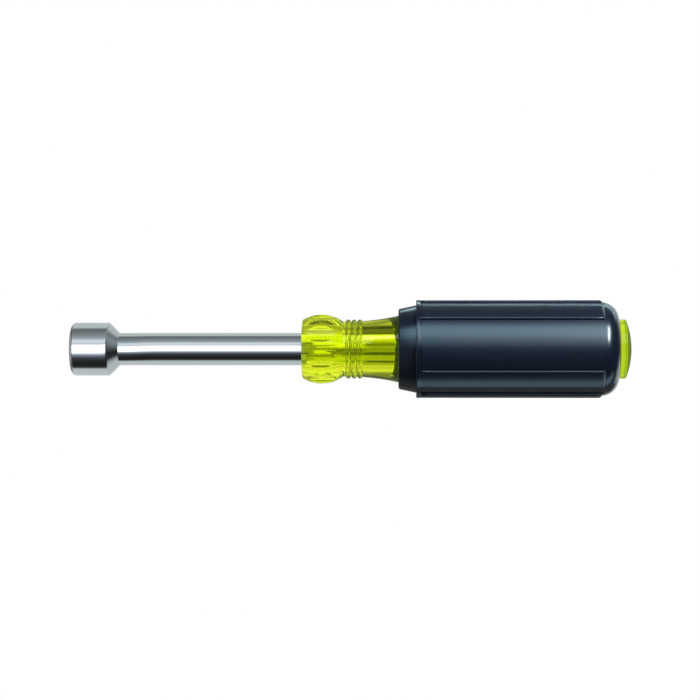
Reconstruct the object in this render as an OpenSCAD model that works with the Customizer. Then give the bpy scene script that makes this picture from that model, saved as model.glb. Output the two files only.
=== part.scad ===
// Nut driver: a hollow steel shank moulded into a clear handle, with a ribbed cushion grip over the handle's core.
// Lengths are in millimetres. The tool lies along X: its mouth is at the origin and its butt at +X, with +Z up.

/* [Socket] */
// Across-flats size of the nut
nut_af = 12.7; // [9:0.1:13]
// Play of the nut in the hex pocket, across the flats
nut_play = 0.1; // [0:0.05:0.3]
// Depth of the hex pocket
pocket_depth = 10.5; // [6:0.5:12]
// Length of the lead-in cone that opens the hex at the mouth
lead_in = 0.9; // [0.3:0.1:1.5]
// Outer diameter of the socket
socket_d = 17.5; // [16.6:0.1:22]
// Length of the straight part of the socket
socket_len = 12.6; // [12:0.05:18]
// Length of the cone from the socket down to the shaft
shoulder_len = 3.45; // [2:0.05:6]
// Radius round the outer edge of the mouth
lip_r = 1.2; // [0.3:0.1:2]
// Radius where the socket turns into its cone
shoulder_r = 2; // [0.4:0.1:2.5]

/* [Shaft] */
// Length from the mouth to the handle's face
blade_len = 76.2; // [60:0.1:110]
// Outer diameter of the shaft
shaft_d = 10.7; // [9.5:0.1:11]
// Diameter of the bore that clears a long stud
bore_d = 8.3; // [6:0.1:8.6]
// Length of the shaft inside the handle
shaft_embed = 56; // [45:1:70]
// Length of the knurled band at the shaft's inner end
knurl_len = 16; // [8:1:20]
// Height of the knurl's teeth above the shaft
knurl_h = 0.45; // [0.2:0.05:0.8]
// Number of teeth round the knurl
knurl_count = 24; // [12:1:36]

/* [Ball] */
// Largest diameter of the ball
ball_d = 22.7; // [21.8:0.1:25]
// Radius of the ball's outline, seen from the side
ball_arc_r = 12; // [10.5:0.1:16]
// Length from the handle's face to the ball's largest section
ball_front = 6.3; // [4:0.1:7]
// Length from the ball's largest section to the first ring
ball_back = 7.8; // [7.1:0.1:9]
// Radius round the edge of the handle's face
face_edge_r = 0.6; // [0.2:0.1:1.2]
// Number of finger flutes round the ball
flute_count = 8; // [6:1:10]
// Radius of each finger flute
flute_r = 6.7; // [5:0.1:12]
// Depth of each finger flute
flute_depth = 1.05; // [0.4:0.05:1.2]

/* [Rings and neck] */
// Number of rings behind the ball
ring_count = 3; // [1:1:4]
// Spacing of the rings
ring_pitch = 1.93; // [1.8:0.01:3]
// Radius of each ring's round bead
ring_bead_r = 0.82; // [0.5:0.01:0.88]
// Diameter of the grooves between the rings
groove_d = 18.1; // [17:0.1:18.2]
// Diameter over the rings
ring_d = 19.48; // [18.8:0.01:19.6]
// Diameter of the neck at its waist, behind the rings
waist_d = 18.5; // [17:0.01:19]
// Length of the neck between the rings and the grip
neck_len = 11.7; // [8:0.1:20]
// Diameter of the neck where it enters the grip
neck_end_d = 21.95; // [20:0.01:22.2]
// Radius of the neck's hollow outline
neck_arc_r = 74; // [40:1:150]

/* [Core and butt] */
// Diameter of the handle's core inside the grip
core_d = 24; // [23.2:0.1:26]
// Number of flutes along the core that stop the grip from turning
key_count = 6; // [4:1:8]
// Radius of each flute along the core
key_r = 3.5; // [2.5:0.1:5]
// Depth of each flute along the core
key_depth = 0.8; // [0.4:0.05:1.1]
// Diameter of the butt
butt_d = 19.3; // [16:0.1:19.4]
// Length of the butt's straight wall outside the grip
butt_len = 2.4; // [0.8:0.1:6]
// Radius of the butt's dome
dome_r = 26; // [14:0.5:60]
// Radius round the rim between the butt's wall and its dome
butt_edge_r = 0.5; // [0.2:0.1:0.8]
// Radius round the shoulder between the core and the butt
core_edge_r = 1.5; // [0.5:0.1:2]

/* [Grip] */
// Length of the grip
grip_len = 72; // [55:0.1:95]
// Length of the tapered nose
nose_len = 5.8; // [4:0.1:10]
// Diameter of the nose at its front
nose_d = 26.3; // [25:0.1:28]
// Diameter of the nose at the flange
nose_end_d = 28.8; // [27:0.1:30]
// Radius round the front edge of the nose
nose_edge_r = 0.7; // [0.2:0.1:1]
// Diameter of the flange
flange_d = 32.2; // [31.6:0.1:36]
// Thickness of the flange
flange_len = 1.5; // [1:0.1:3]
// Radius round the flange's two edges
flange_edge_r = 0.3; // [0.1:0.05:0.4]
// Diameter of the grip between its ribs
body_d = 30.5; // [29.2:0.1:31]
// Diameter over the ribs
rib_d = 32.1; // [31.2:0.1:34]
// Angle that each rib takes up
rib_angle = 23; // [15:1:32]
// Angle from one rib to the next
rib_step = 45; // [40:1:50]
// Number of ribs between the two plain panels, on each side
ribs_per_side = 3; // [1:2:3]
// Length of the tail behind the ribs
tail_len = 5.5; // [5.5:0.1:12]
// Length over which the end of a rib slopes down
rib_slope_len = 0.7; // [0.3:0.1:2]
// Radius round the tail
tail_r = 5.3; // [2:0.1:6]
// Length of the grip's back wall behind the core's shoulder
tail_wall = 4; // [2:0.1:5]
// Least width of the flat at the end of the tail, round the butt
tail_flat = 0.2; // [0.1:0.05:0.5]

/* [Fits] */
// Room between the shank and the handle moulded round it
shank_gap = 0.05; // [0.02:0.01:0.1]
// Room between the handle's core and the grip pulled over it
grip_gap = 0.05; // [0.02:0.01:0.1]

/* [Hidden] */
$fn = 96;
// How far a cut runs past the face that it opens
overrun = 2;
// How far the knurl's teeth are rooted in the shaft
knurl_root = 0.1;

// Radii
hex_r = (nut_af + nut_play) / 2 / cos(30);
socket_r = socket_d / 2;
shaft_r = shaft_d / 2;
bore_r = bore_d / 2;
ball_r = ball_d / 2;
groove_r = groove_d / 2;
ring_r = ring_d / 2;
waist_r = waist_d / 2;
neck_end_r = neck_end_d / 2;
core_r = core_d / 2;
butt_r = butt_d / 2;
nose_r = nose_d / 2;
nose_end_r = nose_end_d / 2;
flange_r = flange_d / 2;
body_r = body_d / 2;
rib_r = rib_d / 2;
// Ribs are rooted half-way through the grip's wall
rib_root_r = (core_r + body_r) / 2;

// Places along the tool, measured from the mouth
shaft_at = socket_len + shoulder_len;
shank_end = blade_len + shaft_embed;
knurl_at = shank_end - knurl_len;
ball_at = blade_len + ball_front;
rings_at = ball_at + ball_back;
waist_at = rings_at + ring_count * ring_pitch;
grip_at = waist_at + neck_len;
flange_at = grip_at + nose_len;
ribs_at = flange_at + flange_len;
grip_end = grip_at + grip_len;
ribs_end = grip_end - tail_len;
core_end = grip_end - tail_wall;
butt_rim = grip_end + butt_len;
dome_h = dome_r - sqrt(pow(dome_r, 2) - pow(butt_r, 2));

// Rounded edges that their walls limit
lip_used = min(lip_r, socket_r - hex_r);
tail_used = min(tail_r, body_r - butt_r - grip_gap - tail_flat);
core_edge_used = min(core_edge_r, core_r - butt_r);

// Turns what is drawn round Z to lie along the tool
module along_tool() {
  rotate([0, 90, 0]) children();
}

// Copies its children round the tool, evenly
module around(count, start = 0) {
  for (i = [0 : count - 1])
    rotate(start + i * 360 / count) children();
}

// Flat cutter that rounds an outside corner of an outline; before and after are points on the corner's two sides
module round_corner(before, corner, after, r) {
  u = (before - corner) / norm(before - corner);
  v = (after - corner) / norm(after - corner);
  half = acos(u * v) / 2;
  bisector = (u + v) / norm(u + v);
  centre = corner + bisector * r / sin(half);
  touch_u = corner + u * r / tan(half);
  touch_v = corner + v * r / tan(half);
  difference() {
    polygon([
      centre,
      touch_u,
      touch_u + (touch_u - centre) / r * overrun,
      corner - bisector * 2 * overrun,
      touch_v + (touch_v - centre) / r * overrun,
      touch_v,
    ]);
    translate(centre) circle(r);
  }
}

// Outer outline of the shank: the socket, its cone and the shaft
module shank_outline() {
  mouth_edge = [socket_r, 0];
  shoulder = [socket_r, socket_len];
  cone_end = [shaft_r, shaft_at];
  difference() {
    polygon([[0, 0], mouth_edge, shoulder, cone_end, [shaft_r, shank_end], [0, shank_end]]);
    round_corner([0, 0], mouth_edge, shoulder, lip_used);
    round_corner(mouth_edge, shoulder, cone_end, shoulder_r);
  }
}

// Straight knurl: a ring of pointed teeth rooted in the shaft; gap widens it for the cavity moulded round it
module knurl(gap) {
  root_r = shaft_r - knurl_root + gap;
  tip_r = shaft_r + knurl_h + gap;
  half_step = 180 / knurl_count;
  translate([0, 0, knurl_at]) linear_extrude(knurl_len) polygon([
    for (i = [0 : 2 * knurl_count - 1])
      (i % 2 == 0 ? tip_r : root_r) * [cos(i * half_step), sin(i * half_step)]
  ]);
}

// Lead-in cone that opens the hex to its corners at the mouth
module mouth_cone() {
  flat_r = hex_r * cos(30);
  widening = (hex_r - flat_r) / lead_in;
  translate([0, 0, -overrun])
    cylinder(h = lead_in + overrun, r1 = hex_r + overrun * widening, r2 = flat_r);
}

// Hollow steel shank: hex socket at the mouth, and a stud bore from the pocket to the inner end
module shank() {
  color("silver") along_tool() difference() {
    union() {
      rotate_extrude() shank_outline();
      knurl(0);
    }
    translate([0, 0, -overrun]) cylinder(h = pocket_depth + overrun, r = hex_r, $fn = 6);
    mouth_cone();
    translate([0, 0, pocket_depth - overrun])
      cylinder(h = shank_end - pocket_depth + 2 * overrun, r = bore_r);
  }
}

// The ball's outline: an arc cut square at the handle's face, with that edge rounded
module ball_outline() {
  arc_centre = [ball_r - ball_arc_r, ball_at];
  edge_x = arc_centre.x + sqrt(pow(ball_arc_r - face_edge_r, 2) - pow(ball_front - face_edge_r, 2));
  edge_centre = [edge_x, blade_len + face_edge_r];
  spoke = (edge_centre - arc_centre) / norm(edge_centre - arc_centre);
  difference() {
    intersection() {
      translate(arc_centre) circle(ball_arc_r);
      translate([0, blade_len]) square([ball_r, ball_front + ball_back]);
    }
    difference() {
      polygon([
        edge_centre,
        [edge_x, blade_len - overrun],
        [edge_x + overrun, blade_len - overrun],
        edge_centre + spoke * (face_edge_r + overrun),
      ]);
      translate(edge_centre) circle(face_edge_r);
    }
  }
}

// The neck's outline: a hollow flare from the waist to the grip
module neck_outline() {
  waist = [waist_r, waist_at];
  flare = [neck_end_r, grip_at];
  chord = norm(flare - waist);
  along = (flare - waist) / chord;
  outward = [along.y, -along.x];
  arc_centre = (waist + flare) / 2 + outward * sqrt(pow(neck_arc_r, 2) - pow(chord / 2, 2));
  difference() {
    polygon([[0, waist_at], [neck_end_r, waist_at], flare, [0, grip_at]]);
    translate(arc_centre) circle(neck_arc_r);
  }
}

// Outline of the core and the butt, between two places; gap grows it for the bore of the grip
module core_outline(front, back, gap) {
  shoulder = [core_r + gap, core_end + gap];
  foot = [0, core_end + gap];
  difference() {
    polygon([
      [0, front],
      [neck_end_r + gap, front],
      [neck_end_r + gap, grip_at],
      [core_r + gap, flange_at],
      shoulder,
      foot,
    ]);
    round_corner([core_r + gap, flange_at], shoulder, foot, core_edge_used);
  }
  translate([0, flange_at]) square([butt_r + gap, back - flange_at]);
}

// Flutes along the core; gap slims them, for the ridges of the grip that lie in them
module core_flutes(gap) {
  around(key_count, 180 / key_count)
    translate([core_r + key_r - key_depth, 0, grip_at]) cylinder(h = grip_len, r = key_r - gap);
}

// Outline of the butt's end: its wall up to the rim, and the dome, with the rim rounded
module butt_outline() {
  dome_centre = [0, butt_rim + dome_h - dome_r];
  edge_x = butt_r - butt_edge_r;
  edge_centre = [edge_x, dome_centre.y + sqrt(pow(dome_r - butt_edge_r, 2) - pow(edge_x, 2))];
  spoke = (edge_centre - dome_centre) / norm(edge_centre - dome_centre);
  difference() {
    intersection() {
      translate(dome_centre) circle(dome_r);
      translate([0, core_end]) square([butt_r, butt_rim + dome_h - core_end]);
    }
    difference() {
      polygon([
        edge_centre,
        edge_centre + [butt_edge_r + overrun, 0],
        edge_centre + [butt_edge_r + overrun, overrun],
        edge_centre + spoke * (butt_edge_r + overrun),
      ]);
      translate(edge_centre) circle(butt_edge_r);
    }
  }
}

// Whole outline of the handle, from its face to the top of its dome
module handle_outline() {
  ball_outline();
  translate([0, ball_at]) square([groove_r, waist_at - ball_at]);
  for (i = [0 : ring_count - 1])
    translate([ring_r - ring_bead_r, rings_at + (i + 1 / 2) * ring_pitch]) circle(ring_bead_r);
  neck_outline();
  core_outline(grip_at, butt_rim - butt_edge_r, 0);
  butt_outline();
}

// Finger flutes round the ball, with a land between them at the top
module finger_flutes() {
  around(flute_count, 180 / flute_count)
    translate([ball_r + flute_r - flute_depth, 0, blade_len - overrun])
      cylinder(h = rings_at - blade_len + overrun, r = flute_r);
}

// Clear handle, moulded round the shank
module handle() {
  color([0.78, 0.92, 0.05, 0.75]) along_tool() difference() {
    rotate_extrude() handle_outline();
    finger_flutes();
    core_flutes(0);
    translate([0, 0, blade_len - overrun])
      cylinder(h = shaft_embed + overrun + shank_gap, r = shaft_r + shank_gap);
    knurl(shank_gap);
  }
}

// Outer outline of the grip without its ribs: nose, flange, body and round tail
module grip_outline() {
  nose_edge = [nose_r, grip_at];
  nose_end = [nose_end_r, flange_at];
  flange_front = [flange_r, flange_at];
  flange_back = [flange_r, ribs_at];
  tail_edge = [body_r, grip_end];
  difference() {
    polygon([
      [0, grip_at],
      nose_edge,
      nose_end,
      flange_front,
      flange_back,
      [body_r, ribs_at],
      tail_edge,
      [0, grip_end],
    ]);
    round_corner([0, grip_at], nose_edge, nose_end, nose_edge_r);
    round_corner(nose_end, flange_front, flange_back, flange_edge_r);
    round_corner(flange_front, flange_back, [body_r, ribs_at], flange_edge_r);
    round_corner([body_r, ribs_at], tail_edge, [0, grip_end], tail_used);
  }
}

// One rib, from inside the flange to its sloping end, centred on the given angle
module rib(angle) {
  rotate(angle - rib_angle / 2) rotate_extrude(angle = rib_angle) polygon([
    [rib_root_r, flange_at + flange_len / 2],
    [rib_r, flange_at + flange_len / 2],
    [rib_r, ribs_end - rib_slope_len],
    [rib_root_r, ribs_end + rib_slope_len * (body_r - rib_root_r) / (rib_r - body_r)],
  ]);
}

// Cushion grip: ribs stand in two groups, one on each side, with a plain panel at the top and at the bottom
module grip() {
  middle = (ribs_per_side - 1) / 2;
  color([0.13, 0.17, 0.22]) along_tool() difference() {
    union() {
      rotate_extrude() grip_outline();
      for (side = [90, 270], i = [0 : ribs_per_side - 1])
        rib(side + (i - middle) * rib_step);
    }
    difference() {
      rotate_extrude() core_outline(grip_at - overrun, grip_end + overrun, grip_gap);
      core_flutes(grip_gap);
    }
  }
}

shank();
handle();
grip();
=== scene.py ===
"""Nut driver: a plated shank, a clear moulded handle and a ribbed cushion grip, dressed over the solids."""
import math

import bpy
from mathutils import Matrix, Vector


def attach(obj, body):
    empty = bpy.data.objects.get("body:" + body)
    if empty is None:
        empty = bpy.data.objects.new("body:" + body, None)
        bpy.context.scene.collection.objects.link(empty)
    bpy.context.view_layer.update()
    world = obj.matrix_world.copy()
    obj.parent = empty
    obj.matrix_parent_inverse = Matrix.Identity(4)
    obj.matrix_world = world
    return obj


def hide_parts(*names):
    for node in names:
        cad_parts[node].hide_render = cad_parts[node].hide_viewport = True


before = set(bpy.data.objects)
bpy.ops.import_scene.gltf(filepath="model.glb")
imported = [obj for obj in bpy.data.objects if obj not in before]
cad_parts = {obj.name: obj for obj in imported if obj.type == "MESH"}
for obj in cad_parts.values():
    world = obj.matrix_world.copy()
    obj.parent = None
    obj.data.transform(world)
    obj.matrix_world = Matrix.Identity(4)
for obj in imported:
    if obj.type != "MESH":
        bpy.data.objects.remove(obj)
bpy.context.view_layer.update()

# Shank: one hollow forging of tool steel, turned, broached to a hex at the mouth, polished and plated.
# It runs on inside the handle, where a knurled band keeps it from turning.
# Lengths here and below are in millimetres, and places are measured from the mouth.
MM = 0.001
SOCKET_R, SOCKET_LEN, LIP_LEN, LIP_H = 8.75, 12.3, 1.3, 1.25
SHAFT_R, SHAFT_AT, SHANK_END = 5.35, 15.65, 132.2
SHOULDER_R, BORE_R = 0.8, 4.15
HEX_R, HEX_DEPTH, LEAD_IN = 7.39, 10.5, 0.9
KNURL_AT, KNURL_R, KNURL_TEETH = 116.2, 5.8, 24

# FACETS is the number of steps round a turned piece, and NEAR the slack for picking points by their place.
FACETS, NEAR = 192, 0.1


def arc(centre, radius, start, end, steps):
    """Points (place, radius) along an arc: 0 degrees points to the butt and 90 away from the axis."""
    turns = [math.radians(start + (end - start) * i / steps) for i in range(steps + 1)]
    return [(centre[0] + radius * math.cos(t), centre[1] + radius * math.sin(t)) for t in turns]


def line(start, end, steps):
    """Points along a straight stretch, without its last one."""
    return [tuple(a + (b - a) * i / steps for a, b in zip(start, end)) for i in range(steps)]


def turned(name, outline, steps):
    """Draws an outline by extruding one vertex from point to point, and spins it round the tool's axis."""
    bpy.ops.object.select_all(action="DESELECT")
    bpy.ops.mesh.primitive_plane_add(size=MM, location=(outline[0][0] * MM, 0, outline[0][1] * MM))
    piece = bpy.context.object
    piece.name = piece.data.name = name
    bpy.ops.object.mode_set(mode="EDIT")
    bpy.ops.mesh.select_mode(type="VERT")
    bpy.ops.mesh.select_all(action="SELECT")
    bpy.ops.mesh.merge(type="CENTER")
    for (x0, r0), (x1, r1) in zip(outline, outline[1:]):
        step = ((x1 - x0) * MM, 0, (r1 - r0) * MM)
        bpy.ops.mesh.extrude_vertices_move(TRANSFORM_OT_translate={"value": step})
    bpy.ops.mesh.select_all(action="SELECT")
    bpy.ops.mesh.spin(steps=steps, angle=math.tau, center=(0, 0, 0), axis=(1, 0, 0))
    bpy.ops.mesh.select_all(action="SELECT")
    bpy.ops.mesh.remove_doubles(threshold=MM / 1000)
    bpy.ops.mesh.normals_make_consistent(inside=False)
    bpy.ops.object.mode_set(mode="OBJECT")
    bpy.ops.object.transform_apply(location=True, rotation=True, scale=True)
    return piece


def cut_away(piece, cutter):
    """Takes a cutter's solid out of a piece, and removes the cutter."""
    bpy.ops.object.select_all(action="DESELECT")
    bpy.context.view_layer.objects.active = piece
    piece.select_set(True)
    cut = piece.modifiers.new("cut", "BOOLEAN")
    cut.operation, cut.solver, cut.object = "DIFFERENCE", "EXACT", cutter
    bpy.ops.object.modifier_apply(modifier=cut.name)
    bpy.data.objects.remove(cutter)


def smoothed(piece, degrees):
    """Shades a piece smooth, but for edges sharper than the angle."""
    bpy.ops.object.select_all(action="DESELECT")
    bpy.context.view_layer.objects.active = piece
    piece.select_set(True)
    bpy.ops.object.shade_smooth_by_angle(angle=math.radians(degrees))


cone_turn = math.degrees(math.atan2(SOCKET_R - SHAFT_R, SHAFT_AT - SOCKET_LEN))
shoulder_back = SHOULDER_R * math.tan(math.radians(cone_turn / 2))
shank = turned(
    "shank",
    [(0, BORE_R)]
    + [(LIP_LEN * (1 + x), SOCKET_R - LIP_H * (1 - r)) for x, r in arc((0, 0), 1, 180, 90, 16)]
    + arc((SOCKET_LEN - shoulder_back, SOCKET_R - SHOULDER_R), SHOULDER_R, 90, 90 - cone_turn, 12)
    + [(SHAFT_AT, SHAFT_R), (KNURL_AT, SHAFT_R), (SHANK_END, SHAFT_R), (SHANK_END, BORE_R), (0, BORE_R)],
    FACETS,
)

# The knurl's teeth are pulled up from every eighth line of the inner end.
bpy.ops.object.mode_set(mode="EDIT")
bpy.ops.mesh.select_all(action="DESELECT")
bpy.ops.object.mode_set(mode="OBJECT")
for v in shank.data.vertices:
    turn = math.degrees(math.atan2(v.co.y, v.co.z)) * KNURL_TEETH / 360
    on_tooth = abs(turn - round(turn)) < 0.2
    outside = math.hypot(v.co.y, v.co.z) > (SHAFT_R - NEAR) * MM
    v.select = on_tooth and outside and v.co.x > (KNURL_AT + 1) * MM
bpy.ops.object.mode_set(mode="EDIT")
tooth = KNURL_R / SHAFT_R
bpy.ops.transform.resize(value=(1, tooth, tooth), center_override=(0, 0, 0))
bpy.ops.object.mode_set(mode="OBJECT")

# The hex is broached from the mouth. The cone that opens it is a little wider than its corners there, and
# runs out just inside its flats.
bpy.ops.object.select_all(action="DESELECT")
bpy.ops.mesh.primitive_cylinder_add(
    vertices=6, radius=HEX_R * MM, depth=2 * HEX_DEPTH * MM, rotation=(0, math.pi / 2, 0)
)
bpy.ops.object.transform_apply(rotation=True)
bpy.context.object.rotation_euler.x = math.pi / 6
cut_away(shank, bpy.context.object)
bpy.ops.object.select_all(action="DESELECT")
flat_r = HEX_R * math.cos(math.pi / 6)
mouth_r, root_r = 2 * HEX_R - flat_r + 0.2, flat_r - 0.1
bpy.ops.mesh.primitive_cone_add(
    vertices=FACETS,
    radius1=mouth_r * MM,
    radius2=root_r * MM,
    depth=2 * LEAD_IN * MM,
    rotation=(0, math.pi / 2, 0),
)
cut_away(shank, bpy.context.object)
smoothed(shank, 30)


def srgb(code):
    """Linear colour of an sRGB hex code."""
    parts = [int(code[i : i + 2], 16) / 255 for i in (1, 3, 5)]
    return tuple(c / 12.92 if c <= 0.04045 else ((c + 0.055) / 1.055) ** 2.4 for c in parts) + (1,)


def add(tree, kind, settings, links):
    """Adds a shader node: settings are its properties, or sockets by name, and links feed its sockets."""
    made = tree.nodes.new(kind)
    for key, value in settings.items():
        if isinstance(key, str) and hasattr(made, key):
            setattr(made, key, value)
        else:
            made.inputs[key].default_value = value
    for key, source in links.items():
        tree.links.new(source, made.inputs[key])
    return made


def surface(name):
    """A new material with only its output, and that output."""
    material = bpy.data.materials.new(name)
    material.use_nodes = True
    material.node_tree.nodes.clear()
    return material, material.node_tree, add(material.node_tree, "ShaderNodeOutputMaterial", {}, {})


# Chrome plate over polished steel: a hard mirror, a little grey, with faint polishing lines round the shank.
# The lines are coarser than real ones, so that they show, and each keeps its strength for about 17 mm.
LINE_GAP, LINES_ROUND = 0.4, 60
chrome, tree, out = surface("chrome_plated_steel")
place = add(tree, "ShaderNodeTexCoord", {}, {})
stretch = add(
    tree,
    "ShaderNodeMapping",
    {"Scale": (1 / (LINE_GAP * MM), LINES_ROUND, LINES_ROUND)},
    {"Vector": place.outputs["Object"]},
)
lines = add(tree, "ShaderNodeTexNoise", {"Scale": 1.0, "Detail": 3.0}, {"Vector": stretch.outputs["Vector"]})
gloss = add(
    tree,
    "ShaderNodeMapRange",
    {"From Min": 0.3, "From Max": 0.7, "To Min": 0.03, "To Max": 0.06},
    {"Value": lines.outputs["Fac"]},
)
scratch = add(
    tree, "ShaderNodeBump", {"Strength": 0.02, "Distance": 0.01 * MM}, {"Height": lines.outputs["Fac"]}
)
metal = add(
    tree,
    "ShaderNodeBsdfPrincipled",
    {"Base Color": srgb("#d2d5d7"), "Metallic": 1.0},
    {"Roughness": gloss.outputs["Result"], "Normal": scratch.outputs["Normal"]},
)
tree.links.new(metal.outputs["BSDF"], out.inputs["Surface"])
shank.data.materials.append(chrome)
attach(shank, "root")
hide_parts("shank")

# Handle: one moulding of clear cellulose acetate round the shank, tinted yellow-green and polished.
# It has a fluted ball, three rings and a flared neck, then the core inside the grip and a domed butt.
FACE_AT, FACE_EDGE_R = 76.2, 0.6
BALL_R, BALL_ARC_R, BALL_AT = 11.35, 12.0, 82.5
FLUTES, FLUTE_R, FLUTE_DEPTH, FLUTE_FROM, FLUTE_FACETS = 8, 6.7, 1.05, 72.2, 256
RINGS_AT, RING_PITCH, RING_R, BEAD_R, GROOVE_R = 90.3, 1.93, 9.74, 0.82, 9.05
WAIST_AT, WAIST_R, NECK_ARC_R = 96.09, 9.25, 74
GRIP_AT, NECK_END_R = 107.79, 10.975
FLANGE_AT, CORE_R, CORE_END, CORE_EDGE_R = 113.59, 12.0, 175.79, 1.5
BUTT_R, BUTT_RIM, DOME_R, BUTT_EDGE_R = 9.7, 182.165, 26.0, 0.5
CAVITY_GAP = 0.05


def angle_of(centre, point):
    """Angle in degrees of a point seen from a centre, as arc() counts it."""
    return math.degrees(math.atan2(point[1] - centre[1], point[0] - centre[0]))


ball_centre = (BALL_AT, BALL_R - BALL_ARC_R)
edge_x = FACE_AT + FACE_EDGE_R
edge_r = ball_centre[1] + math.sqrt((BALL_ARC_R - FACE_EDGE_R) ** 2 - (BALL_AT - edge_x) ** 2)
edge_turn = angle_of(ball_centre, (edge_x, edge_r))
valley_turn = math.degrees(math.asin((GROOVE_R - ball_centre[1]) / BALL_ARC_R))
bead_foot = math.degrees(math.asin((GROOVE_R - RING_R + BEAD_R) / BEAD_R))
rings = []
for i in range(3):
    middle = RINGS_AT + (i + 0.5) * RING_PITCH
    rings += arc((middle, RING_R - BEAD_R), BEAD_R, 180 - bead_foot, bead_foot, 16)

waist, flare = (WAIST_AT, WAIST_R), (GRIP_AT, NECK_END_R)
chord = math.dist(waist, flare)
lean = math.atan2(flare[1] - waist[1], flare[0] - waist[0])
reach = math.sqrt(NECK_ARC_R**2 - (chord / 2) ** 2)
neck_centre = (
    (waist[0] + flare[0]) / 2 - reach * math.sin(lean),
    (waist[1] + flare[1]) / 2 + reach * math.cos(lean),
)
dome_h = DOME_R - math.sqrt(DOME_R**2 - BUTT_R**2)
dome_centre = (BUTT_RIM + dome_h - DOME_R, 0)
rim_r = BUTT_R - BUTT_EDGE_R
rim_centre = (dome_centre[0] + math.sqrt((DOME_R - BUTT_EDGE_R) ** 2 - rim_r**2), rim_r)
rim_turn = angle_of(dome_centre, rim_centre)
cavity_r, cavity_end = SHAFT_R + CAVITY_GAP, SHANK_END + CAVITY_GAP
handle = turned(
    "handle",
    [(cavity_end, 0), (cavity_end, KNURL_R + CAVITY_GAP), (KNURL_AT, KNURL_R + CAVITY_GAP)]
    + line((KNURL_AT, cavity_r), (FACE_AT, cavity_r), 40)
    + line((FACE_AT, cavity_r), (FACE_AT, edge_r), 6)
    + arc((edge_x, edge_r), FACE_EDGE_R, 180, edge_turn, 8)
    + arc(ball_centre, BALL_ARC_R, edge_turn, valley_turn, 60)[1:]
    + rings
    + arc(neck_centre, NECK_ARC_R, angle_of(neck_centre, waist), angle_of(neck_centre, flare), 24)
    + line((FLANGE_AT, CORE_R), (CORE_END - CORE_EDGE_R, CORE_R), 12)
    + arc((CORE_END - CORE_EDGE_R, CORE_R - CORE_EDGE_R), CORE_EDGE_R, 90, 0, 6)
    + [(CORE_END, BUTT_R)]
    + arc(rim_centre, BUTT_EDGE_R, 90, rim_turn, 6)
    + arc(dome_centre, DOME_R, rim_turn, 0, 20)[1:],
    FACETS,
)

# The finger flutes are milled round the ball by a straight cutter, every other one at a time.
for first in (0, 1):
    bpy.ops.object.select_all(action="DESELECT")
    cutters = []
    for i in range(first, FLUTES, 2):
        turn = math.tau * (i + 0.5) / FLUTES
        off = (BALL_R + FLUTE_R - FLUTE_DEPTH) * MM
        bpy.ops.mesh.primitive_cylinder_add(
            vertices=FLUTE_FACETS,
            radius=FLUTE_R * MM,
            depth=(RINGS_AT - FLUTE_FROM) * MM,
            location=((RINGS_AT + FLUTE_FROM) / 2 * MM, off * math.sin(turn), off * math.cos(turn)),
            rotation=(0, math.pi / 2, 0),
        )
        cutters.append(bpy.context.object)
    for cutter in cutters:
        cutter.select_set(True)
    bpy.ops.object.join()
    cut_away(handle, bpy.context.object)
smoothed(handle, 20)

# Clear cellulose acetate: a polished surface over a body that takes out the blue and a little red.
# The tint has a faint painted glow all over, and a brighter painted glow at its butt, standing in for the
# light that the handle gathers and brings out there, as in a light guide.
# The waves, 6 mm long, are those that a polishing drum leaves.
WAVE_LEN, GLOW_FROM, GLOW_TO = 6, 179.7, 180.3
acetate, tree, out = surface("clear_acetate")
place = add(tree, "ShaderNodeTexCoord", {}, {})
ripple = add(
    tree,
    "ShaderNodeTexNoise",
    {"Scale": 1 / (WAVE_LEN * MM), "Detail": 1.0},
    {"Vector": place.outputs["Object"]},
)
wave = add(
    tree, "ShaderNodeBump", {"Strength": 0.02, "Distance": 0.1 * MM}, {"Height": ripple.outputs["Fac"]}
)
along = add(tree, "ShaderNodeSeparateXYZ", {}, {"Vector": place.outputs["Object"]})
# Painted glow: faint over the whole handle, and brighter at the butt.
painted_glow_strength = add(
    tree,
    "ShaderNodeMapRange",
    {"From Min": GLOW_FROM * MM, "From Max": GLOW_TO * MM, "To Min": 0.018, "To Max": 0.16},
    {"Value": along.outputs["X"]},
)
clear = add(
    tree,
    "ShaderNodeBsdfPrincipled",
    {
        "Base Color": srgb("#e8f234"),
        "Roughness": 0.0,
        "IOR": 1.48,
        "Transmission Weight": 1.0,
        "Emission Color": srgb("#d3ff3f"),
    },
    {"Normal": wave.outputs["Normal"], "Emission Strength": painted_glow_strength.outputs["Result"]},
)
tint = add(tree, "ShaderNodeVolumeAbsorption", {"Color": srgb("#e2f200"), "Density": 20.0}, {})
tree.links.new(clear.outputs["BSDF"], out.inputs["Surface"])
tree.links.new(tint.outputs["Volume"], out.inputs["Volume"])
handle.data.materials.append(acetate)
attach(handle, "root")
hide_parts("handle")

# Grip: a thick sleeve of soft vinyl, dipped or moulded blue-black, pulled warm over the handle's core.
# It has a tapered nose, a flange, three ribs on each side between two plain panels, and a round tail.
GRIP_END, GRIP_GAP = 179.79, 0.05
NOSE_R, NOSE_END_R, NOSE_EDGE_R = 13.15, 14.4, 0.7
FLANGE_R, RIBS_AT, FLANGE_EDGE_R = 16.1, 115.09, 0.3
BODY_R, RIB_R, RIBS_END, RIB_SLOPE = 15.25, 16.05, 174.59, 0.7
RIB_ANGLE, RIB_STEP, RIB_TURN = 25, 45, 1.25
RIB_EDGE_R, RIB_EDGE_TURN, TAIL_R = 0.55, 0.6, 5.2
GRIP_FACETS = 288

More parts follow.
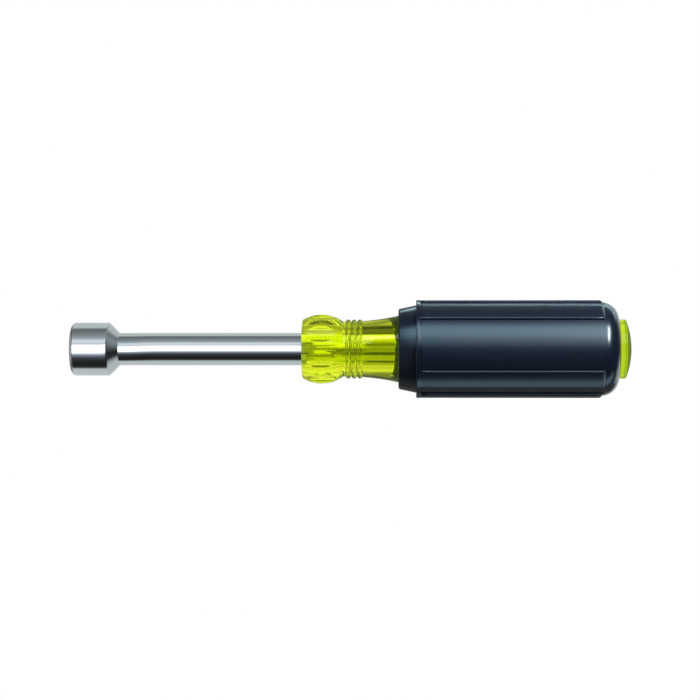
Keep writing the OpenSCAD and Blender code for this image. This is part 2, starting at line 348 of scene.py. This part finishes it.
nose_lean = math.degrees(math.atan2(NOSE_END_R - NOSE_R, FLANGE_AT - GRIP_AT))
nose_back = NOSE_EDGE_R * math.tan(math.radians((90 - nose_lean) / 2))
nose_r = NOSE_R - nose_back
bore = [
    (GRIP_END, BUTT_R + GRIP_GAP),
    (CORE_END + GRIP_GAP, BUTT_R + GRIP_GAP),
    (CORE_END + GRIP_GAP, CORE_R + GRIP_GAP),
    (FLANGE_AT, CORE_R + GRIP_GAP),
    (GRIP_AT, NECK_END_R + GRIP_GAP),
]
grip = turned(
    "grip",
    [(GRIP_AT, NECK_END_R + GRIP_GAP)]
    + arc((GRIP_AT + NOSE_EDGE_R, nose_r), NOSE_EDGE_R, 180, 90 + nose_lean, 6)
    + [(FLANGE_AT, NOSE_END_R)]
    + arc((FLANGE_AT + FLANGE_EDGE_R, FLANGE_R - FLANGE_EDGE_R), FLANGE_EDGE_R, 180, 90, 5)
    + arc((RIBS_AT - FLANGE_EDGE_R, FLANGE_R - FLANGE_EDGE_R), FLANGE_EDGE_R, 90, 0, 5)
    + line((RIBS_AT, BODY_R), (RIBS_END, BODY_R), 24)
    + arc((RIBS_END, BODY_R - TAIL_R), TAIL_R, 90, 0, 24)
    + bore,
    GRIP_FACETS,
)

# Each rib is a strip of the body between the flange and the tail, pulled up, with its back end sloped.
# The sleeve sits turned on the core by a degree or so.
bpy.ops.object.mode_set(mode="EDIT")
bpy.ops.mesh.select_mode(type="FACE")
bpy.ops.mesh.select_all(action="DESELECT")
bpy.ops.object.mode_set(mode="OBJECT")
for f in grip.data.polygons:
    turn = abs(math.degrees(math.atan2(f.center.y, f.center.z)) - RIB_TURN)
    near = min(abs(turn - a) for a in (90 - RIB_STEP, 90, 90 + RIB_STEP))
    outside = math.hypot(f.center.y, f.center.z) > (BODY_R - NEAR) * MM
    f.select = outside and near < RIB_ANGLE / 2 and RIBS_AT * MM < f.center.x < RIBS_END * MM
bpy.ops.object.mode_set(mode="EDIT")
bpy.ops.mesh.extrude_region_move(TRANSFORM_OT_translate={"value": (0, 0, 0)})
lift = RIB_R / BODY_R
bpy.ops.transform.resize(value=(1, lift, lift), center_override=(0, 0, 0))
bpy.ops.object.mode_set(mode="OBJECT")
top_r = (RIB_R + BODY_R) / 2 * MM
for v in grip.data.vertices:
    v.select = v.select and v.co.x > (RIBS_END - NEAR) * MM and math.hypot(v.co.y, v.co.z) > top_r
bpy.ops.object.mode_set(mode="EDIT")
bpy.ops.mesh.select_mode(type="VERT")
bpy.ops.transform.translate(value=(-RIB_SLOPE * MM, 0, 0))
bpy.ops.mesh.select_mode(type="EDGE")
bpy.ops.mesh.select_all(action="DESELECT")
bpy.ops.object.mode_set(mode="OBJECT")

# The ribs' upper edges are rounded, as a mould leaves them.
verts = grip.data.vertices
faces_of = {}
for f in grip.data.polygons:
    for key in f.edge_keys:
        faces_of.setdefault(key, []).append(f.normal)
for e in grip.data.edges:
    a, b = (verts[i].co for i in e.vertices)
    raised = min(math.hypot(c.y, c.z) for c in (a, b)) > top_r
    on_rib = min(a.x, b.x) > (RIBS_AT - NEAR) * MM and max(a.x, b.x) < RIBS_END * MM
    normals = faces_of[tuple(sorted(e.vertices))]
    sharp = len(normals) == 2 and normals[0].angle(normals[1], 0) > RIB_EDGE_TURN
    at_flange = max(a.x, b.x) < (RIBS_AT + NEAR) * MM
    e.select = raised and on_rib and sharp and not at_flange
bpy.ops.object.mode_set(mode="EDIT")
bpy.ops.mesh.bevel(offset=RIB_EDGE_R * MM, segments=3, affect="EDGES", clamp_overlap=True)
bpy.ops.object.mode_set(mode="OBJECT")
smoothed(grip, 32)

# Soft vinyl: satin and blue-black, with the fine grain of a blasted mould between the flange and the tail.
# The nose, the flange and the tail come from polished parts of the mould, so they shine more.
# The grain is coarser than the real one, so that it shows. The worn patches are about a fingertip wide.
GRAIN, WORN_PATCH = 0.35, 9
vinyl, tree, out = surface("soft_vinyl")
place = add(tree, "ShaderNodeTexCoord", {}, {})
along = add(tree, "ShaderNodeSeparateXYZ", {}, {"Vector": place.outputs["Object"]})
behind_flange = add(
    tree,
    "ShaderNodeMapRange",
    {"From Min": RIBS_AT * MM, "From Max": (RIBS_AT + 1) * MM},
    {"Value": along.outputs["X"]},
)
before_tail = add(
    tree,
    "ShaderNodeMapRange",
    {"From Min": (RIBS_END + 1) * MM, "From Max": (RIBS_END - 0.5) * MM},
    {"Value": along.outputs["X"]},
)
body = add(
    tree,
    "ShaderNodeMath",
    {"operation": "MULTIPLY"},
    {0: behind_flange.outputs["Result"], 1: before_tail.outputs["Result"]},
)
grain = add(
    tree,
    "ShaderNodeTexNoise",
    {"Scale": 1 / (GRAIN * MM), "Detail": 2.0},
    {"Vector": place.outputs["Object"]},
)
relief = add(
    tree, "ShaderNodeMath", {"operation": "MULTIPLY"}, {0: grain.outputs["Fac"], 1: body.outputs["Value"]}
)
skin = add(
    tree, "ShaderNodeBump", {"Strength": 0.15, "Distance": 0.02 * MM}, {"Height": relief.outputs["Value"]}
)
patch = add(
    tree,
    "ShaderNodeTexNoise",
    {"Scale": 1 / (WORN_PATCH * MM), "Detail": 3.0},
    {"Vector": place.outputs["Object"]},
)
worn = add(
    tree,
    "ShaderNodeMapRange",
    {"From Min": 0.2, "From Max": 0.8, "To Min": -0.02, "To Max": 0.02},
    {"Value": patch.outputs["Fac"]},
)
satin = add(
    tree,
    "ShaderNodeMapRange",
    {"To Min": 0.23, "To Max": 0.3},
    {"Value": body.outputs["Value"]},
)
sheen = add(
    tree, "ShaderNodeMath", {"operation": "ADD"}, {0: satin.outputs["Result"], 1: worn.outputs["Result"]}
)
rubber = add(
    tree,
    "ShaderNodeBsdfPrincipled",
    {"Base Color": srgb("#0f131d"), "IOR": 1.5},
    {"Roughness": sheen.outputs["Value"], "Normal": skin.outputs["Normal"]},
)
tree.links.new(rubber.outputs["BSDF"], out.inputs["Surface"])
grip.data.materials.append(vinyl)
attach(grip, "root")
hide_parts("grip")

# Floor: a white light table that the tool lies on. To the camera it is plain white, so it shows no shadow.
# Seen through the clear handle it has painted strips of shadow, where the tool keeps the light from it, and
# some brighter painted strips. They differ under the ball with its rings and under the neck, and each stop
# is a place across the tool and a level.
FLOOR_SIZE, FLOOR_REACH, NECK_FROM, NECK_TO = 6000, 80, 95, 97
bpy.ops.object.select_all(action="DESELECT")
bpy.ops.mesh.primitive_plane_add(size=FLOOR_SIZE * MM, location=(0, 0, -FLANGE_R * MM))
floor = bpy.context.object
floor.name = "floor"
bpy.ops.object.transform_apply(location=True)
table, tree, out = surface("white_light_table")
place = add(tree, "ShaderNodeTexCoord", {}, {})
across = add(tree, "ShaderNodeSeparateXYZ", {}, {"Vector": place.outputs["Object"]})
SHADE = [
    (-80, 1.5), (-50, 1.17), (-35, 0.8), (-26, 0.8), (-20, 1.03), (-15, 1.05), (-11, 1.33), (-8, 1.44),
    (-5.5, 0.64), (-3.5, 0.0), (-1.5, 0.17), (0, 0.93), (1.5, 1.12), (3.5, 1.06), (5.5, 1.08), (8, 0.38),
    (11, 0.46), (15, 0.46), (20, 0.37), (26, 0.44), (35, 0.69), (50, 0.81), (80, 0.9),
]
NECK_SHADE = [
    (-80, 0.7), (-50, 0.78), (-35, 0.73), (-26, 0.73), (-20, 0.77), (-15, 0.87), (-11, 1.0), (-8, 0.8),
    (-5.5, 0.35), (-3.5, 0.3), (-1.5, 0.63), (0, 0.55), (1.5, 0.37), (3.5, 0.35), (5.5, 0.22), (8, 0.3),
    (11, 0.1), (15, 0.0), (20, 0.01), (26, 0.12), (35, 0.14), (50, 0.14), (80, 0.16),
]
share = add(
    tree,
    "ShaderNodeMapRange",
    {"From Min": -FLOOR_REACH * MM, "From Max": FLOOR_REACH * MM},
    {"Value": across.outputs["Y"]},
)


def banded(tree, source, stops):
    """A colour ramp with one band for each stop: its place from 0 to 1, and its linear colour."""
    ramp = add(tree, "ShaderNodeValToRGB", {}, {"Fac": source})
    bands = ramp.color_ramp.elements
    while len(bands) < len(stops):
        bands.new(0.5)
    for band, (position, colour) in zip(bands, stops):
        band.position = position
        band.color = colour
    return ramp.outputs["Color"]


def grey(level):
    """A neutral linear colour."""
    return (level, level, level, 1)


shades = []
for stops in (SHADE, NECK_SHADE):
    strips = [((y + FLOOR_REACH) / (2 * FLOOR_REACH), grey(level)) for y, level in stops]
    shades.append(banded(tree, share.outputs["Result"], strips))
under_neck = add(
    tree,
    "ShaderNodeMapRange",
    {"From Min": NECK_FROM * MM, "From Max": NECK_TO * MM},
    {"Value": across.outputs["X"]},
)
shade = add(
    tree,
    "ShaderNodeMix",
    {"data_type": "RGBA"},
    {0: under_neck.outputs["Result"], 6: shades[0], 7: shades[1]},
)
rays = add(tree, "ShaderNodeLightPath", {}, {})
seen = add(
    tree,
    "ShaderNodeMix",
    {"data_type": "RGBA", 7: grey(1)},
    {0: rays.outputs["Is Camera Ray"], 6: shade.outputs[2]},
)
glow = add(tree, "ShaderNodeEmission", {"Strength": 1.0}, {"Color": seen.outputs[2]})
tree.links.new(glow.outputs["Emission"], out.inputs["Surface"])
floor.data.materials.append(table)
floor.visible_diffuse = floor.visible_glossy = floor.visible_shadow = False

# Studio: a dark room with dim light behind the tool, which its finishes mirror. What shows through the clear
# handle is brighter, and differs for rays that lean to the butt, as those through the neck do.
# The ramps go round the tool, in degrees from the camera's side, and positive ones point up in the picture.
CAMERA_TILT = 4.6
world = bpy.data.worlds.new("studio")
bpy.context.scene.world = world
world.use_nodes = True
tree = world.node_tree
tree.nodes.clear()
way = add(tree, "ShaderNodeTexCoord", {}, {})
parts = add(tree, "ShaderNodeSeparateXYZ", {}, {"Vector": way.outputs["Generated"]})
turn = add(tree, "ShaderNodeMath", {"operation": "ARCTAN2"}, {0: parts.outputs["Y"], 1: parts.outputs["Z"]})
share = add(
    tree,
    "ShaderNodeMapRange",
    {"From Min": -math.pi, "From Max": math.pi},
    {"Value": turn.outputs["Value"]},
)


def turn_share(degrees):
    """Place on a ramp round the tool, from 0 to 1, of an angle from the camera's side."""
    return min(max((degrees - CAMERA_TILT + 180) / 360, 0), 1)


def studio_ramp(stops):
    """Levels of grey round the tool."""
    levels = [(turn_share(degrees), grey(level)) for degrees, level in stops]
    return banded(tree, share.outputs["Result"], levels)


ROOM = [
    (-172, 0.1), (-160, 0.2), (-102, 0.2), (-92, 0.02), (60, 0.02),
    (72, 0.08), (98, 0.08), (109, 0.2), (165, 0.2), (180, 0.1),
]
THROUGH = [
    (-90, 0.95), (-82, 0.97), (-74, 1.11), (-66, 1.3), (-58, 1.24), (-50, 1.03), (-43, 0.71), (-37, 0.43),
    (-31, 0.35), (-26, 0.4), (-21, 0.5), (-16, 0.43), (-11, 0.26), (-6, 0.22), (0, 0.44), (6, 0.89),
    (12, 1.41), (18, 1.99), (25, 2.09), (32, 1.92), (40, 1.72), (50, 1.65), (60, 1.7), (70, 1.81),
    (80, 1.74), (90, 1.73),
]
NECK_THROUGH = [
    (-90, 0.0), (-82, 0.0), (-74, 0.44), (-66, 0.93), (-58, 0.72), (-50, 0.77), (-43, 0.85), (-37, 0.46),
    (-31, 0.05), (-26, 0.04), (-21, 0.23), (-16, 0.51), (-11, 0.67), (-6, 0.53), (0, 0.48), (6, 0.65),
    (12, 0.73), (18, 0.55), (25, 0.29), (32, 0.43), (40, 0.75), (50, 1.21), (60, 1.69), (70, 2.16),
    (80, 2.12), (90, 1.85),
]
backward = add(
    tree, "ShaderNodeMapRange", {"From Min": 0.02, "From Max": 0.06}, {"Value": parts.outputs["X"]}
)
through = add(
    tree,
    "ShaderNodeMix",
    {"data_type": "RGBA"},
    {0: backward.outputs["Result"], 6: studio_ramp(THROUGH), 7: studio_ramp(NECK_THROUGH)},
)

# Rays that lean well to an end of the tool, and not down, see the room past that end. It is bright past the
# mouth and dark past the butt. Each stop is the ray's lean and a level.
ends = add(
    tree, "ShaderNodeMapRange", {"From Min": -1.0, "From Max": 1.0}, {"Value": parts.outputs["X"]}
)
SIDES = [(-1, 0.6), (-0.86, 0.6), (-0.78, 0.15), (-0.4, 0.15), (0.4, 0.02), (1, 0.02)]
sides = banded(tree, ends.outputs["Result"], [((x + 1) / 2, grey(level)) for x, level in SIDES])
reach = add(tree, "ShaderNodeMath", {"operation": "ABSOLUTE"}, {0: parts.outputs["X"]})
aside = add(
    tree,
    "ShaderNodeMapRange",
    {"From Min": 0.36, "From Max": 0.5, "interpolation_type": "SMOOTHSTEP"},
    {"Value": reach.outputs["Value"]},
)
above = add(tree, "ShaderNodeMapRange", {"From Min": -0.4, "From Max": -0.1}, {"Value": parts.outputs["Z"]})
beside = add(
    tree,
    "ShaderNodeMath",
    {"operation": "MULTIPLY"},
    {0: aside.outputs["Result"], 1: above.outputs["Result"]},
)

# The finishes mirror the room and its ends, and the camera itself sees plain white.
rays = add(tree, "ShaderNodeLightPath", {}, {})
seen = studio_ramp(ROOM)
for chosen, other in (
    (beside.outputs["Value"], {7: sides}),
    (rays.outputs["Is Transmission Ray"], {7: through.outputs[2]}),
    (rays.outputs["Is Camera Ray"], {}),
):
    blend = add(tree, "ShaderNodeMix", {"data_type": "RGBA", 7: grey(1)}, {0: chosen, 6: seen, **other})
    seen = blend.outputs[2]
sky = add(tree, "ShaderNodeBackground", {}, {"Color": seen})
add(tree, "ShaderNodeOutputWorld", {}, {"Surface": sky.outputs["Background"]})

# A lamp stands LAMP_AWAY from the tool, and shows as a level of 1 at LEVEL_WATTS for each square metre.
LAMP_AWAY, LEVEL_WATTS = 600, 4


def lights_only(source, receivers):
    """Lets a lamp or a glowing cloth light some pieces only."""
    lit = bpy.data.collections.new(source.name + "_lit")
    for piece in receivers:
        lit.objects.link(piece)
    source.light_linking.receiver_collection = lit


def softbox(name, degrees, size, level, tone, receivers, centre_x):
    """A rectangular light beside the tool, at an angle from the camera's side, for some pieces only."""
    bpy.ops.object.select_all(action="DESELECT")
    aim = Vector((centre_x * MM, 0, 0))
    turn = math.radians(degrees - CAMERA_TILT)
    spot = aim + LAMP_AWAY * MM * Vector((0, math.sin(turn), math.cos(turn)))
    bpy.ops.object.light_add(type="AREA", location=spot)
    lamp = bpy.context.object
    lamp.name = name
    lamp.rotation_euler = (spot - aim).to_track_quat("Z", "Y").to_euler()
    lamp.data.shape = "RECTANGLE"
    lamp.data.size, lamp.data.size_y = size[0] * MM, size[1] * MM
    lamp.data.color = tone
    lamp.data.energy = level * LEVEL_WATTS * size[0] * size[1] * MM * MM
    lamp.visible_camera = lamp.visible_transmission = False
    lights_only(lamp, receivers)


# The keys and washes are above in the picture, grip_near is below, and the others are behind the tool.
# A cool tone lies on the vinyl.
SLATE = (0.49, 0.78, 1.0)
softbox("grip_key", 45, (800, 320), 2.7, SLATE, [grip], 200)
softbox("grip_wash", 38, (800, 640), 1.55, SLATE, [grip], 200)
softbox("grip_far", 136, (800, 60), 6.0, (0.6, 0.9, 1.0), [grip], 380)
softbox("grip_near", -89, (800, 210), 1.95, SLATE, [grip], 420)
softbox("tail_key", 40, (130, 400), 36, (0.85, 1.0, 1.02), [grip], 450)
softbox("tail_rim", 178, (600, 700), 0.9, (0.85, 1.0, 1.02), [grip], 560)
softbox("tail_side", -148, (640, 520), 1.1, (0.85, 1.0, 1.05), [grip], 980)
softbox("neck_key", 46, (300, 130), 3, (1, 1, 1), [handle], -110)
softbox("ball_wash", 42, (560, 440), 0.9, (1, 1, 1), [handle], 230)

# Bank: a curved cloth round the tool that only the plated shank mirrors, white in front and grey above it.
# It is dark in front below, and bright again behind, where the table is. Its right half is dimmer, and shows
# in the shoulder. Each stop is an angle from the camera's side, a level and a tone.
BANK_R, BANK_FROM, BANK_TO = 600, -330, 1500
RIGHT_FROM, RIGHT_TO = 60, 110

# What the shaft mirrors is turned by LAG_TURN degrees against what the socket mirrors.
LAG_FROM, LAG_TO, LAG_TURN = -66, -52, 5
GREY, TABLE = (0.84, 1.0, 1.06), (0.89, 1.0, 0.98)
BLUE, PLAIN = (0.89, 1.0, 1.19), (0.93, 1.0, 1.07)
BANK = [
    (-180, 0.54, TABLE), (-96, 0.55, TABLE), (-91, 0.25, TABLE), (-86, 0.03, PLAIN), (-80, 0.008, PLAIN),
    (-66, 0.0, PLAIN), (-51, 0.015, PLAIN), (-46, 0.03, BLUE), (-42, 0.045, BLUE), (-38, 0.07, BLUE),
    (-34, 0.14, BLUE), (-28, 0.30, BLUE), (-24, 0.50, BLUE), (-19, 1.03, BLUE), (-16, 2.2, PLAIN),
    (16, 2.2, PLAIN), (19, 1.03, PLAIN), (23, 0.8, PLAIN), (28, 0.93, PLAIN), (33, 1.05, PLAIN),
    (41, 0.83, PLAIN), (46, 0.52, GREY), (50, 0.48, GREY), (56, 0.4, GREY), (63, 0.31, GREY),
    (72, 0.21, GREY), (80, 0.16, GREY), (95, 0.12, GREY), (98, 0.14, GREY), (104.5, 0.48, TABLE),
    (109, 0.52, TABLE), (180, 0.54, TABLE),
]
RIGHT = [
    (-180, 0.47, TABLE), (-121, 0.5, TABLE), (-104, 0.3, TABLE), (-95, 0.03, PLAIN), (-60, 0.0, PLAIN),
    (-20, 0.06, PLAIN), (26, 0.135, PLAIN), (60, 0.26, GREY), (88, 0.35, GREY), (109, 0.16, GREY),
    (120, 0.35, TABLE), (128, 0.47, TABLE), (180, 0.47, TABLE),
]
bank = turned("front_bank", [(BANK_FROM, BANK_R), (BANK_TO, BANK_R), (BANK_TO, 1)], FACETS // 2)
cloth, tree, out = surface("white_cloth")
place = add(tree, "ShaderNodeTexCoord", {}, {})
across = add(tree, "ShaderNodeSeparateXYZ", {}, {"Vector": place.outputs["Object"]})
turn = add(
    tree, "ShaderNodeMath", {"operation": "ARCTAN2"}, {0: across.outputs["Y"], 1: across.outputs["Z"]}
)
lag = add(
    tree,
    "ShaderNodeMapRange",
    {"From Min": LAG_FROM * MM, "From Max": LAG_TO * MM, "To Max": math.radians(LAG_TURN)},
    {"Value": across.outputs["X"]},
)
facing = add(
    tree, "ShaderNodeMath", {"operation": "SUBTRACT"}, {0: turn.outputs["Value"], 1: lag.outputs["Result"]}
)
share = add(
    tree,
    "ShaderNodeMapRange",
    {"From Min": -math.pi, "From Max": math.pi},
    {"Value": facing.outputs["Value"]},
)
halves = []
for stops in (BANK, RIGHT):
    tints = [(turn_share(d), tuple(level * c for c in tone) + (1,)) for d, level, tone in stops]
    halves.append(banded(tree, share.outputs["Result"], tints))
right = add(
    tree,
    "ShaderNodeMapRange",
    {"From Min": RIGHT_FROM * MM, "From Max": RIGHT_TO * MM},
    {"Value": across.outputs["X"]},
)
fade = add(
    tree, "ShaderNodeMix", {"data_type": "RGBA"}, {0: right.outputs["Result"], 6: halves[0], 7: halves[1]}
)
glow = add(tree, "ShaderNodeEmission", {"Strength": 1.0}, {"Color": fade.outputs[2]})
clear = add(tree, "ShaderNodeBsdfTransparent", {}, {})
sheer = add(tree, "ShaderNodeAddShader", {}, {0: clear.outputs["BSDF"], 1: glow.outputs["Emission"]})
tree.links.new(sheer.outputs["Shader"], out.inputs["Surface"])
bank.data.materials.append(cloth)
bank.visible_camera = bank.visible_diffuse = bank.visible_transmission = bank.visible_shadow = False
lights_only(bank, [shank])

# Camera: almost straight above the handle, with a long lens at two thirds of a metre, and turned a little
# towards the socket.
CAMERA_AT, CAMERA_TURN, FRAME_W, AIM = 670, 1.9, 230.6, (91.8, -0.31, 0)
bpy.ops.object.select_all(action="DESELECT")
tilt = Matrix.Rotation(math.radians(CAMERA_TILT), 3, "X")
pose = tilt @ Matrix.Rotation(math.radians(CAMERA_TURN), 3, "Y")
bpy.ops.object.camera_add(location=(Vector(AIM) + CAMERA_AT * (pose @ Vector((0, 0, 1)))) * MM)
camera = bpy.context.object
camera.rotation_euler = pose.to_euler()
camera.data.sensor_width = 36
camera.data.lens = 36 * CAMERA_AT / FRAME_W
camera.data.clip_start = 0.01
bpy.context.scene.camera = camera
bpy.context.scene.view_settings.view_transform = "Standard"
